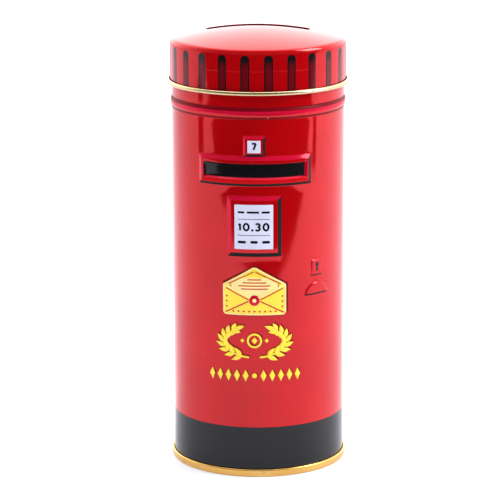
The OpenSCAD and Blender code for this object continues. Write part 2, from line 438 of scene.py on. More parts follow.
def stroke(tin, path, width, lift=LINE, dome=0.0, ring=False, across=4):
    """A ribbon along a path of (arc, z): its edges are half the width to each side,
    along the path's normal. width is one number or one for each point."""
    if ring:
        around = np.vstack([path[-1:], path, path[:1]])
        along = (around[2:] - around[:-2]) / 2
    else:
        along = np.gradient(path, axis=0)
    along = along / np.linalg.norm(along, axis=1, keepdims=True)
    normal = np.stack([-along[:, 1], along[:, 0]], axis=-1)
    half = np.broadcast_to(np.asarray(width, float), (len(path),))[:, None] / 2
    return wafer(tin, path - normal * half, path + normal * half, across, lift, dome, ring)


def panel(tin, left, right, low, high, corner, lift, step=1.0):
    """A rectangle on the wall with rounded corners: at each place across it, the low
    and high edges come in by what the corner's circle leaves out."""
    count = max(4, int((right - left) / step) + 1)
    if corner > 0:
        turn = corner * (1 - np.cos(np.linspace(0, np.pi / 2, 6)))
        middle = np.linspace(left + corner, right - corner, count)[1:-1]
        arc = np.concatenate([left + turn, middle, right - turn[::-1]])
    else:
        arc = np.linspace(left, right, count)
    short = np.clip(corner - np.minimum(arc - left, right - arc), 0, None)
    cut = corner - np.sqrt(np.clip(corner**2 - short**2, 0, None))
    across = max(4, int((high - low) / step) + 1)
    low_edge, high_edge = np.stack([arc, low + cut], -1), np.stack([arc, high - cut], -1)
    return wafer(tin, low_edge, high_edge, across, lift)


CORNERS = {"top": ((0, 3), (1, 3)), "bottom": ((0, 2), (1, 2)),
           "left": ((0, 2), (0, 3)), "right": ((1, 2), (1, 3))}


def mitred(tin, plate, side, start, end):
    """One bevel of a plate, from inset start to inset end, with mitred ends: each edge
    runs between two of the corners of the plate's sides at that inset."""
    near, far = ([(edges[i], edges[j]) for i, j in CORNERS[side]]
                 for edges in (plate.sides(start), plate.sides(end)))
    count = int(np.abs(np.subtract(*near)).max() / 0.8) + 4
    return wafer(tin, line_points(*near, count), line_points(*far, count), 8)


# ---------------------------------------------------------------- shader maths


class Value:
    """A shader socket that arithmetic can be written with. Each operator adds the
    Math node of its name."""

    def __init__(self, shader, socket):
        self.shader, self.socket = shader, socket

    def maths(self, operation, *others):
        """A Math node on this value and up to two others."""
        values = dict(enumerate((self, *others)))
        return self.shader.add("ShaderNodeMath", {"operation": operation}, values)

    def __add__(self, other):
        return self.maths("ADD", other)

    def __sub__(self, other):
        return self.maths("SUBTRACT", other)

    def __rsub__(self, other):
        return self.shader.add("ShaderNodeMath", {"operation": "SUBTRACT"}, {0: other, 1: self})

    def __mul__(self, other):
        return self.maths("MULTIPLY", other)

    __radd__, __rmul__ = __add__, __mul__

    def between(self, low, high):
        """0 at low and below, 1 at high and above, smooth from one to the other."""
        return self.shader.add(
            "ShaderNodeMapRange", {"interpolation_type": "SMOOTHSTEP"},
            {"Value": self, "From Min": low, "From Max": high},
        )


class Shader:
    """The node tree of one material or world."""

    def __init__(self, owner):
        owner.use_nodes = True
        self.tree = owner.node_tree
        self.tree.nodes.clear()

    def add(self, kind, settings=None, values=None, output=0):
        """Adds a node, sets its settings, then its sockets, and returns one output."""
        node = self.tree.nodes.new(kind)
        for key, setting in (settings or {}).items():
            setattr(node, key, setting)
        for key, value in (values or {}).items():
            socket = node.inputs[key]
            if isinstance(value, Value):
                self.tree.links.new(value.socket, socket)
            elif isinstance(value, (tuple, list)) and socket.type == "RGBA" and len(value) == 3:
                socket.default_value = (*value, 1)
            else:
                socket.default_value = value
        return Value(self, node.outputs[output]) if len(node.outputs) else None

    def blend(self, share, first, second):
        """Two colours mixed: first where share is 0, second where it is 1."""
        return self.add(
            "ShaderNodeMix", {"data_type": "RGBA"}, {0: share, 6: first, 7: second}, output=2
        )

    def place(self, stretch=(1, 1, 1)):
        """Object coordinates, stretched."""
        spot = self.add("ShaderNodeTexCoord", output="Object")
        return self.add("ShaderNodeMapping", None, {"Vector": spot, "Scale": stretch})

    def above_table(self):
        """Height above the table in metres."""
        spot = self.add("ShaderNodeTexCoord", output="Object")
        return self.add("ShaderNodeSeparateXYZ", None, {"Vector": spot}, output="Z")

    def noise(self, scale, detail=2.0, stretch=(1, 1, 1)):
        """Noise with scale features to the metre."""
        values = {"Vector": self.place(stretch), "Scale": scale, "Detail": detail}
        return self.add("ShaderNodeTexNoise", None, values, output="Fac")

    def specks(self, scale, size):
        """1 in small round specks, one to a cell, of a size from 0 to size."""
        spot = self.place()
        near = self.add("ShaderNodeTexVoronoi", None, {"Vector": spot, "Scale": scale}, "Distance")
        dice = self.add("ShaderNodeTexVoronoi", None, {"Vector": spot, "Scale": scale}, "Color")
        dice = self.add("ShaderNodeSeparateColor", None, {"Color": dice})
        limit = (dice - 0.75) * (4 * size)
        return 1 - (near - limit).between(-0.01, 0.02)

    def finish(self, colour_in, roughness, height, depth, **constants):
        """Principled surface with a colour, a roughness and a bump of depth metres."""
        relief_in = {"Height": height, "Strength": 1.0, "Distance": depth}
        bump = self.add("ShaderNodeBump", None, relief_in)
        values = {"Base Color": colour_in, "Roughness": roughness, "Normal": bump}
        for key, value in constants.items():
            values[key.replace("_", " ").title().replace("Ior", "IOR")] = value
        surface = self.add("ShaderNodeBsdfPrincipled", None, values)
        self.add("ShaderNodeOutputMaterial", None, {"Surface": surface})


def scratches(shader):
    """Thin hairlines, mostly along the tin: two noises stretched one way and cut to
    the narrow ridge about their middle value."""
    upright = shader.noise(500, 1.0, (1, 1, 0.05)) - 0.5
    level = shader.noise(90, 2.0, (1, 1, 9)) - 0.5
    first = 1 - upright.maths("ABSOLUTE").between(0.002, 0.010)
    second = 1 - level.maths("ABSOLUTE").between(0.002, 0.008)
    where = shader.noise(45, 2.0).between(0.52, 0.68)
    return (first + second).maths("MINIMUM", 1.0) * where


def lacquer(name, shade, deep=0.82, gloss=0.055, specks=0.5, height=None, tinny=0.29, shine=0.44):
    """Gloss lacquer over tinplate: ground colour with slow mottling and faint dust,
    orange peel and a slow wave in the sheet, and hairlines that dull the gloss. shine
    is the varnish's specular level, and tinny is the share of the light that the tin
    under the lacquer mirrors back."""
    material = bpy.data.materials.new(name)
    shader = Shader(material)
    mottle = shader.noise(38, 3.0).between(0.3, 0.7)
    grain = shader.noise(1500, 2.0).between(0.25, 0.75)
    dark = tuple(part * deep for part in shade)
    ground = shader.blend(mottle * 0.6 + grain * 0.4, dark, shade)
    dust = shader.specks(160, 0.07) * specks
    ground = shader.blend(dust * 0.35, ground, (0.75, 0.68, 0.66))
    hair = scratches(shader)
    rough = gloss + mottle * 0.02 + hair * 0.10 + dust * 0.25
    peel = shader.noise(700, 1.5)
    wave = shader.noise(70, 1.0)
    bumps = peel * 0.05 + wave * 0.55 + dust * 0.05 - hair * 0.012
    if height is not None:
        bumps = bumps + height(shader)
    shader.finish(
        ground, rough, bumps, 5e-5, metallic=tinny, specular_ior_level=shine, ior=1.5
    )
    return material


def gold_lacquer(name, shade):
    """Gold lacquer over bright tin: metal with fine turning lines round the axis,
    patches of thinner lacquer and small dull rubs."""
    material = bpy.data.materials.new(name)
    shader = Shader(material)
    lines = shader.noise(60, 3.0, (1, 1, 60))
    patch = shader.noise(55, 3.0).between(0.35, 0.7)
    warm = tuple(part * factor for part, factor in zip(shade, (0.93, 0.82, 0.66)))
    ground = shader.blend(patch * 0.7 + lines * 0.3, warm, shade)
    rub = shader.noise(300, 4.0).between(0.58, 0.72)
    ground = shader.blend(rub * 0.35, ground, (0.42, 0.25, 0.10))
    rough = 0.16 + lines * 0.10 + rub * 0.18
    bumps = lines * 0.35 + rub * 0.2 + shader.noise(900, 2.0) * 0.15
    shader.finish(ground, rough, bumps, 1.2e-5, metallic=1.0)
    return material


def ink(name, shade, gloss=0.09, shine=0.36, tinny=0.0):
    """Printed ink under gloss varnish: a fine screen grain in the colour, the varnish's
    orange peel and a few hairlines."""
    material = bpy.data.materials.new(name)
    shader = Shader(material)
    grain = shader.noise(2600, 2.0).between(0.2, 0.8)
    cloud = shader.noise(120, 3.0).between(0.3, 0.7)
    dark = tuple(part * 0.86 for part in shade)
    ground = shader.blend(grain * 0.4 + cloud * 0.6, dark, shade)
    dust = shader.specks(190, 0.06)
    ground = shader.blend(dust * 0.3, ground, (0.7, 0.68, 0.66))
    hair = scratches(shader)
    rough = gloss + grain * 0.03 + hair * 0.1 + dust * 0.2
    bumps = shader.noise(700, 1.5) * 0.06 + shader.noise(70, 1.0) * 0.4 - hair * 0.01
    shader.finish(
        ground, rough, bumps, 5e-5, metallic=tinny, specular_ior_level=shine, ior=1.5
    )
    return material


def slit_ink(name, shade):
    """Ink of the slits' middles: black at the top, and dark red from the middle down."""
    material = bpy.data.materials.new(name)
    shader = Shader(material)
    cloud = shader.noise(150, 3.0)
    top = Tin().rim_z * MM
    high = shader.above_table().between(top - 0.0058, top - 0.0018)
    ground = shader.blend(high, tuple(bpy.context.scene.tin_colours.slit), shade)
    ground = shader.blend(cloud * 0.3, ground, shade)
    bumps = shader.noise(700, 1.5) * 0.06 + shader.noise(70, 1.0) * 0.4
    shader.finish(ground, 0.08 + cloud * 0.03, bumps, 5e-5, specular_ior_level=0.3, ior=1.5)
    return material


def die_line(shader):
    """A faint line that the drawing die leaves round the lid's wall."""
    away = (shader.above_table() - (Tin().rim_z - 6.4) * MM).maths("ABSOLUTE")
    return (1 - away.between(0.00005, 0.00018)) * 0.35


MATT = {"gloss": 0.35, "shine": 0.06}
RECIPES = {
    "red": (lacquer, "body red lacquer", "red", {}),
    "lid_red": (lacquer, "lid red lacquer", "red", {"height": die_line}),
    "black": (
        lacquer, "black print lacquer", "black",
        {"deep": 0.7, "gloss": 0.08, "specks": 1.0, "tinny": 0.0, "shine": 0.31},
    ),
    "bevel_black": (ink, "shaded bevel ink", "black", {"gloss": 0.3, "shine": 0.10}),
    "slit_red": (slit_ink, "slit ink", "black", {}),
    "crimson": (ink, "crimson ink", "crimson", {"shine": 0.2, "tinny": 0.2}),
    # Dark red that paints shade on the coin slot's folded lip.
    "slot_dark": (ink, "slot lip lacquer", "slot", MATT),
    "shade": (ink, "shade ink", "shade", MATT),
    "flat_red": (ink, "flat red ink", "red", MATT),
    "white": (ink, "white ink", "white", {}),
    "yellow": (ink, "yellow ink", "yellow", {}),
    "pale": (ink, "pale ink", "pale", {}),
    "gold": (gold_lacquer, "gold lacquer", "gold", {}),
    "inside": (gold_lacquer, "inside lacquer", "tin", {}),
}
FINISHES = {}


def finish_of(key):
    """The material of one lacquer or ink, made by its recipe (maker, name, colour and
    settings) the first time that it is asked for."""
    if key not in FINISHES:
        make, name, ground, settings = RECIPES[key]
        shade = tuple(getattr(bpy.context.scene.tin_colours, ground))
        FINISHES[key] = make(name, shade, **settings)
    return FINISHES[key]


# ---------------------------------------------------------------- sheet metal pieces


def bevel_bands(low, high, bevel):
    """Fine grid lines over the bevels inside the two edges of a plate."""
    return [(low - 0.25, low + bevel + 0.25, 10), (high - bevel - 0.25, high + 0.25, 10)]


def well_bands(low, high, bevel):
    """Fine grid lines over the bevels outside the two edges of the well."""
    return [(low - bevel, low + 0.1, 5), (high - 0.1, high + bevel, 5)]


def tube_profile(tin):
    """Centreline of the tube's sheet as (radius, z): down the hook inside the double
    seam, round its turn, up the wall and round the edge that is rolled in."""
    half = tin.sheet / 2
    wall = tin.body_r - half
    hook = tin.body_r + tin.layer + tin.size["layer_gap"] + half
    turn = ((wall + hook) / 2, FOOT_Z)
    rim = (tin.body_r - tin.size["rim"], tin.rim_z)
    bands = [(tin.bead_z - 2.3, tin.bead_z + 2.3, 25)]
    bands += well_bands(tin.well.low, tin.well.high, tin.well.bevel)
    for plate in tin.plates:
        bands += bevel_bands(plate.low, plate.high, plate.bevel)
    bands.append((tin.pull_low - 0.2, tin.pull_low + 0.4, 6))
    bands.append((tin.pull_low + 0.6, tin.pull_top + 0.2, 14))
    heights = grid_lines(FOOT_Z, tin.rim_z, 2.2, bands)
    upright = np.stack([np.full(len(heights), wall), heights], -1)
    rolled = arc_points(rim, tin.size["rim"] - half, 0, 270, 20)
    hidden = joined(
        line_points((hook, tin.size["seam_height"] - HOOK_DROP), (hook, FOOT_Z), 3),
        arc_points(turn, (hook - wall) / 2, 0, -180, 8),
    )
    return joined(hidden, upright, rolled)


def tube_columns(tin):
    """Places round the tube: even ones, and finer ones at the edges of the reliefs
    and at the line of the lock seam."""
    around = np.pi * tin.body_r
    bands = [(tin.lock.middle - 6, tin.lock.middle + 6, 18)]
    bands += [(-around, -around + 0.4, 5), (around - 0.4, around, 5)]
    bands += well_bands(*tin.well.sides()[:2], tin.well.bevel)
    for plate in tin.plates:
        bands += bevel_bands(*plate.sides()[:2], plate.bevel)
    return grid_lines(-around, around, 1.8, bands)[:-1]


def tube_slab(tin):
    """The tube's sheet: both faces of its profile, moved out by the bead and the
    reliefs, and in by the groove of the lock seam at the back."""
    profile = tube_profile(tin)
    faces = both_faces(profile, tin.sheet)
    columns = tube_columns(tin)[:, None]
    on_wall = (profile[:, 1] > tin.size["seam_height"]) & (profile[:, 1] < tin.rim_z)
    on_wall &= np.abs(profile[:, 0] - tin.body_r + tin.sheet / 2) < 1e-3
    z = profile[:, 1][None, :]
    shift = np.where(on_wall[None, :], relief(tin, columns, z) + bead_rise(tin, z), 0)
    back = np.pi * tin.body_r - np.abs(columns)
    groove = 0.15 * (1 - soft_ramp((back - 0.1) / 0.15, 0.2))
    shift = shift - np.where(on_wall[None, :] & (z < tin.rim_z - 1), groove, 0)
    grids = []
    for face in faces:
        radius = face[:, 0][None, :] + shift
        grids.append(on_tube(radius, columns, face[:, 1][None, :], tin.body_r))
    return grids[0], grids[1], True


def lock_seam_slab(tin):
    """The folded lock seam inside the back of the tube: a flat strip of two more
    layers, with its side edges rounded down to the wall."""
    share = np.linspace(-1, 1, 11)
    arc = np.pi * tin.body_r + 2 * share
    depth = 2 * tin.sheet * soft_ramp((1 - np.abs(share)) * 6, 0.3)
    z = np.linspace(tin.size["base_recess"] + 0.3, tin.bead_z - 4, 30)[:, None]
    inside = tin.body_r - tin.sheet
    outer = on_tube(np.broadcast_to(inside + 0.1, (30, 11)), arc[None, :], z, tin.body_r)
    inner = on_tube(inside - depth[None, :] * np.ones_like(z), arc[None, :], z, tin.body_r)
    return inner, outer, False


def base_profile(tin):
    """Centreline of the base's sheet as (radius, z): out along the panel and over its
    pressed ring, down the inside of the seam, round its foot and over the hook."""
    half = tin.sheet / 2
    gap = tin.size["layer_gap"]
    wall_r = tin.body_r - tin.sheet - gap
    panel_z = tin.size["base_recess"] - half
    outer = tin.seam_r - half
    foot = ((wall_r + tin.seam_r - tin.sheet) / 2, FOOT_Z)
    foot_r = outer - foot[0]
    hook = ((tin.body_r + gap + tin.seam_r) / 2, tin.size["seam_height"] - HOOK_DROP)
    inside = hook[0] - (outer - hook[0])
    ring, corner = 1.1, 1.1
    return joined(
        line_points((0, panel_z), (RING_R - ring, panel_z), 16),
        arc_points((RING_R, panel_z - half), ring - 0.05, 172, 8, 12),
        line_points((RING_R + ring, panel_z), (wall_r - corner, panel_z), 6),
        arc_points((wall_r - corner, panel_z + half - corner), corner - half, 90, 0, 7),
        arc_points(foot, foot_r, 180, 360, 18),
        line_points((outer, 1.2), (outer, hook[1]), 6),
        arc_points(hook, outer - hook[0], 0, 180, 12),
        line_points((inside, hook[1]), (inside, 1.4), 3),
    )


def slot_outline(tin, share, grow):
    """Places on the coin slot's rounded outline, grown all round: share is the part of
    the way round it, from the middle of its +X end."""
    size = tin.size
    corner = size["slot_corner"] + grow
    flat_x = size["slot_length"] - 2 * size["slot_corner"]
    flat_y = size["slot_width"] - 2 * size["slot_corner"]
    turn = corner * np.pi / 2
    runs = np.array([flat_y / 2, turn, flat_x, turn, flat_y, turn, flat_x, turn, flat_y / 2])
    ends = np.concatenate([[0], np.cumsum(runs)])
    way = share * ends[-1]
    x0, y0 = flat_x / 2, flat_y / 2
    xs, ys = np.empty_like(way), np.empty_like(way)
    corners = ((x0, y0, 0), (-x0, y0, 90), (-x0, -y0, 180), (x0, -y0, 270))
    straights = ((x0 + corner, 0, 0, 1), (x0, y0 + corner, -1, 0), (-x0 - corner, y0, 0, -1),
                 (-x0, -y0 - corner, 1, 0), (x0 + corner, -y0, 0, 1))
    for k in range(9):
        on = (way >= ends[k]) & (way <= ends[k + 1])
        gone = way - ends[k]
        if k % 2:
            x, y, start = corners[k // 2]
            angle = np.radians(start) + gone / corner
            xs[on] = (x + corner * np.cos(angle))[on]
            ys[on] = (y + corner * np.sin(angle))[on]
        else:
            x, y, along, up = straights[k // 2]
            xs[on] = (x + along * gone)[on]
            ys[on] = (y + up * gone)[on]
    return xs, ys


def lid_face(tin, inset, steps):
    """One face of the lid's sheet, inset from the outer one: up the slot's folded lip
    and over its edge, out over the dome, round the shoulder, down the wall and round
    the rolled edge."""
    size = tin.size
    share = np.arange(steps)[:, None] / steps
    angle = 2 * np.pi * share
    crown = size["crown"] - inset
    shoulder = size["shoulder"] - inset
    touch = tin.shoulder_x * crown / (size["crown"] - size["shoulder"])
    edge_x, edge_y = np.cos(angle) * touch, np.sin(angle) * touch

    def dome(x, y):
        return tin.crown_z + np.sqrt(crown**2 - x**2 - y**2)

    rounding = 0.45 - inset
    columns = []
    lip_x, lip_y = slot_outline(tin, share, inset)
    lip_low = tin.crown_z + np.sqrt((size["crown"] - size["slot_lip"]) ** 2 - lip_x**2 - lip_y**2)
    for part in np.linspace(0, 1, 5):
        top = dome(lip_x, lip_y) - rounding
        columns.append((lip_x, lip_y, lip_low * (1 - part) + top * part))
    for turn in np.radians(np.linspace(15, 75, 5)):
        x, y = slot_outline(tin, share, inset + rounding * (1 - np.cos(turn)))
        columns.append((x, y, dome(x, y) - rounding * (1 - np.sin(turn))))
    start_x, start_y = slot_outline(tin, share, inset + rounding)
    for part in np.linspace(0, 1, 26) ** 1.1:
        x = start_x * (1 - part) + edge_x * part
        y = start_y * (1 - part) + edge_y * part
        columns.append((x, y, dome(x, y)))
    tilt = math.degrees(math.acos(touch / crown))
    turned_part = [arc_points((tin.shoulder_x, tin.rim_z), shoulder, tilt, 0, 12)[1:]]
    wall = tin.lid_r - inset
    low = tin.lid_low + size["curl"]
    turned_part.append(line_points((wall, tin.rim_z), (wall, low), 14)[1:])
    roll = size["curl"] - (tin.sheet - inset)
    turned_part.append(arc_points((tin.lid_in_r + size["curl"], low), roll, 180, 450, 24)[1:])
    for radius, z in np.concatenate(turned_part):
        columns.append((np.cos(angle) * radius, np.sin(angle) * radius, np.full_like(angle, z)))
    return np.stack([np.concatenate(part, axis=1) for part in zip(*columns)], axis=-1)


# ---------------------------------------------------------------- prints


def leaf(tin, root, heading, span, breadth, lift, dome):
    """A laurel leaf: half its breadth at each place is sin(pi * t ** 0.8) of the full,
    along a line from its root."""
    t = np.linspace(0, 1, 13)
    along = np.array([math.cos(heading), math.sin(heading)])
    path = np.asarray(root) + t[:, None] * span * along
    width = breadth * np.sin(np.pi * t**0.8)
    return stroke(tin, path, np.clip(width, 0.02, None), lift, dome, across=7)


def mirror_pair(build, **settings):
    """The same shape made for both sides, where build takes side = -1 or 1."""
    return [part for side in (-1, 1) for part in build(side, **settings)]


def spray(side, tin, lift, dome, offset=(0, 0), grow=0.0):
    """One laurel spray: a stem on an ellipse from the bottom middle outwards and up,
    with leaves in pairs along it and one at its tip."""
    turn = np.radians(np.linspace(-80, 52, 40))
    centre = np.array([0.0, tin.spray_low + 7.4])
    reach = np.array([12.0, 6.1])
    shift = np.asarray(offset)

    def point(angle):
        spot = centre + reach * np.array([math.cos(angle), math.sin(angle)])
        return np.array([side * spot[0], spot[1]]) + shift

    path = np.array([point(angle) for angle in turn])
    parts = [stroke(tin, path, np.linspace(0.75, 0.35, 40) + grow, lift, dome * 0.6)]
    for k, angle in enumerate(np.radians(np.linspace(-66, 44, 8))):
        ahead = point(angle + 0.02) - point(angle)
        heading = math.atan2(ahead[1], ahead[0])
        for bend in (-0.62, 0.62):
            span = 4.3 - 0.12 * k
            parts.append(
                leaf(tin, point(angle), heading + bend, span + grow, 1.75 + grow, lift, dome)
            )
    ahead = point(turn[-1]) - point(turn[-1] - 0.02)
    tip = math.atan2(ahead[1], ahead[0])
    parts.append(leaf(tin, point(turn[-1] - 0.05), tip, 4.4 + grow, 1.7 + grow, lift, dome))
    return parts


def lozenge(tin, middle, width, height, lift, dome=0.0):
    """A diamond: each edge is a straight line from its side to its tip."""
    t = np.linspace(-1, 1, 11)
    arc = middle[0] + t * width / 2
    half = np.clip(1 - np.abs(t), 0.01, None) * height / 2
    low, high = middle[1] - half, middle[1] + half
    return wafer(tin, np.stack([arc, low], -1), np.stack([arc, high], -1), 7, lift, dome)


def circle_path(middle, radius):
    """28 points round a circle."""
    return arc_points(middle, radius, 0, 360, 29)[:-1]


def disc(tin, middle, radius, lift, dome=0.0):
    """A round spot: half its height at each place across is a circle's."""
    t = np.cos(np.linspace(np.pi, 0, 17))
    arc = middle[0] + t * radius
    half = np.sqrt(np.clip(1 - t**2, 1e-4, None)) * radius
    low = np.stack([arc, middle[1] - half], -1)
    high = np.stack([arc, middle[1] + half], -1)
    return wafer(tin, low, high, 7, lift, dome)


def digit_strokes(tin, figure, left, low, height, weight):
    """A figure as strokes: straight lines and parts of ellipses in a box as high as
    height. Returns the strokes and the figure's width."""
    wide = {"1": 0.34, "0": 0.78, "3": 0.66, "7": 0.70, ".": 0.2}[figure] * height
    inset = weight / 2
    right = left + wide - inset
    start = left + inset
    top, bottom = low + height - inset, low + inset
    if figure == "1":
        parts = [
            (line_points((right, bottom), (right, top), 6), False),
            (line_points((start - 0.1, top - 0.22 * height), (right, top), 5), False),
        ]
    elif figure == "0":
        angle = np.linspace(0, 2 * np.pi, 33)[:-1]
        middle = np.array([(start + right) / 2, (top + bottom) / 2])
        reach = np.array([(right - start) / 2, (top - bottom) / 2])
        ring = middle + np.stack([np.cos(angle), np.sin(angle)], -1) * reach
        parts = [(ring, True)]
    elif figure == "7":
        parts = [
            (line_points((start, top), (right, top), 5), False),
            (line_points((right - 0.05, top), (start + 0.18 * height, bottom), 8), False),
        ]
    elif figure == "3":
        middle = (start + right) / 2 - 0.03 * height
        bowl = (top - bottom) / 4
        angle = np.radians(np.linspace(150, -90, 18))
        upper = np.stack([middle + (right - middle) * 0.92 * np.cos(angle),
                          top - bowl + bowl * np.sin(angle)], -1)
        angle = np.radians(np.linspace(90, -150, 18))
        lower = np.stack([middle + (right - middle) * np.cos(angle),
                          bottom + bowl + bowl * np.sin(angle)], -1)
        parts = [(upper, False), (lower, False)]
    else:
        return [disc(tin, (left + wide / 2, low + 0.6 * weight), 0.62 * weight, FIGURE)], wide
    return [stroke(tin, path, weight, FIGURE, 0, ring) for path, ring in parts], wide


def figures(tin, text, left, low, height, weight, gap):
    """Figures set side by side."""
    parts = []
    for figure in text:
        strokes, wide = digit_strokes(tin, figure, left, low, height, weight)
        parts += strokes
        left += wide + gap
    return parts


# ---------------------------------------------------------------- operators


class PieceOperator:
    """What the operators share."""

    bl_options = {"REGISTER", "UNDO"}


class TINBOX_OT_body_tube(PieceOperator, bpy.types.Operator):
    """Rolled tube with its bead, embossed frames, rolled-in rim and lock seam"""

    bl_idname = "tinbox.body_tube"
    bl_label = "Body tube"

    def execute(self, context):
        tin = Tin()
        tube = make_piece(
            "body_tube", [tube_slab(tin)], "box",
            [finish_of("red"), finish_of("inside")], double=True,
        )
        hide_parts("body_shell")
        make_piece(
            "lock_seam", [lock_seam_slab(tin)], "box", [finish_of("inside")]
        )
        return {"FINISHED"}


class TINBOX_OT_base_end(PieceOperator, bpy.types.Operator):
    """Base panel with its pressed ring and the double seam round the foot"""

    bl_idname = "tinbox.base_end"
    bl_label = "Base end"

    def execute(self, context):
        tin = Tin()
        grids = []
        for face in both_faces(base_profile(tin), tin.sheet):
            face = face.copy()
            face[:, 0] = np.where(face[:, 0] < 0.2, 0, face[:, 0])
            face[:, 1] = np.clip(face[:, 1], 0, None)
            grids.append(turned(face, context.scene.tin_stage.samples_round))
        base = make_piece(
            "base_seam_and_panel", [(grids[0], grids[1], True)], "box",
            [finish_of("gold")],
        )
        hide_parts("base_end")
        return {"FINISHED"}


class TINBOX_OT_lid(PieceOperator, bpy.types.Operator):
    """Drawn lid with its dome, folded coin slot, wall and rolled edge"""

    bl_idname = "tinbox.lid"
    bl_label = "Lid"

    def execute(self, context):
        tin = Tin()
        steps = context.scene.tin_stage.samples_round
        outer, inner = lid_face(tin, 0.0, steps), lid_face(tin, tin.sheet, steps)
        # The third material paints shade on the outer faces of the slot's folded lip.
        lid = make_piece(
            "lid", [(outer, inner, True)], "lid",
            [finish_of("lid_red"), finish_of("inside"), finish_of("slot_dark")], double=True,
            lip=10,
        )
        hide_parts("lid_cap")
        return {"FINISHED"}


class TINBOX_OT_lid_slits(PieceOperator, bpy.types.Operator):
    """Printed round-topped slits round the lid's wall"""

    bl_idname = "tinbox.lid_slits"
    bl_label = "Lid slits"

    def execute(self, context):
        tin = Tin()
        count, width, phase = 24, 3.3, math.radians(9.3)
        low, top = tin.lid_low + 1.2, tin.rim_z - 0.4
        turn = np.linspace(0, np.pi / 2, 9)
        heights = np.concatenate([np.linspace(low, top - width / 2, 8),
                                  top - width / 2 + width / 2 * np.sin(turn[1:])])
        half = np.concatenate([np.full(8, width / 2), width / 2 * np.cos(turn[1:])])
        share = np.linspace(-1, 1, 5)[None, :]

        def layer(narrow, lower, lift):
            slabs = []
            for k in range(count):
                reach = np.clip(half[:, None] - narrow, 0.02, None) * share
                arc = tin.lid_r * (phase + 2 * np.pi * k / count) + reach
                z = np.broadcast_to(heights[:, None] - lower, arc.shape)
                outer = on_tube(tin.lid_r + lift, arc, z, tin.lid_r)
                inner = on_tube(tin.lid_r - 0.1, arc, z, tin.lid_r)
                slabs.append((outer, inner, False))
            return slabs

        make_piece("lid_slits", layer(0, 0, GROUND), "lid", [finish_of("black")])
        middles = layer(0.5, 0.5, 0.035)
        make_piece("lid_slit_middles", middles, "lid", [finish_of("slit_red")])
        return {"FINISHED"}


class TINBOX_OT_foot_band(PieceOperator, bpy.types.Operator):
    """Printed black band round the foot of the tube"""

    bl_idname = "tinbox.foot_band"
    bl_label = "Foot band"

    def execute(self, context):
        tin = Tin()
        z = np.linspace(tin.size["seam_height"] - 1, tin.size["band_top"], 14)
        steps = context.scene.tin_stage.samples_round
        outer = turned(np.stack([np.full(14, tin.body_r + 0.02), z], -1), steps)
        inner = turned(np.stack([np.full(14, tin.body_r - 0.1), z], -1), steps)
        printed("foot_band", [(outer, inner, True)], "black")
        return {"FINISHED"}


class TINBOX_OT_frame_prints(PieceOperator, bpy.types.Operator):
    """Printed light and shade on the frames' bevels and edges, and the black posting slot"""

    bl_idname = "tinbox.frame_prints"
    bl_label = "Frame prints"

    def execute(self, context):
        tin = Tin()
        lit, shaded = [], []
        for plate in (tin.number, tin.posting, tin.collection):
            wide = plate.bevel
            for side in ("top", "left"):
                lit.append(mitred(tin, plate, side, 0.0, wide))
            shaded.append(mitred(tin, plate, "right", -0.05, wide))
            low = 0.62 * wide if plate is tin.posting else wide
            shaded.append(mitred(tin, plate, "bottom", -0.05, low))
        for side in ("bottom", "right"):
            lit.append(mitred(tin, tin.well, side, 0.0, -tin.well.bevel))
        start = 0.62 * tin.posting.bevel
        end = tin.well.low - tin.well.bevel - tin.posting.low
        under = [mitred(tin, tin.posting, "bottom", start, end)]
        printed("posting_lower_edge", under, "flat_red")
        printed("lit_bevels", lit, "crimson")
        printed("shaded_bevels", shaded, "bevel_black")
        left, right, low, high = tin.well.sides()
        # The black slot print runs out over the well's top and left bevels, where it paints their
        # shade.
        edge = tin.well.bevel * 0.6
        opening = panel(tin, left - edge, right, low, high + edge, 0, 0.025, step=0.5)
        printed("posting_slot_print", [opening], "black")
        return {"FINISHED"}


class TINBOX_OT_bead_bands(PieceOperator, bpy.types.Operator):
    """Painted highlight band on the bead's crest and painted shade bands above and below it,
    printed on the tube
    """

    bl_idname = "tinbox.bead_bands"
    bl_label = "Bead bands"

    def execute(self, context):
        tin = Tin()
        around = np.pi * tin.body_r
        arc = np.linspace(-around, around, context.scene.tin_stage.samples_round + 1)[:-1]

        def band(low, high):
            low_edge = np.stack([arc, np.full_like(arc, tin.bead_z + low)], -1)
            high_edge = np.stack([arc, np.full_like(arc, tin.bead_z + high)], -1)
            return wafer(tin, low_edge, high_edge, 9, ring=True)

        # A crimson band paints a highlight on the bead's crest.
        printed("bead_bright_band", [band(-0.3, 0.95)], "crimson")
        # Two bands of shade ink paint shade above and below the bead.
        dark = [band(0.95, 2.4), band(-2.1, -1.3)]
        printed("bead_dark_bands", dark, "shade")
        return {"FINISHED"}


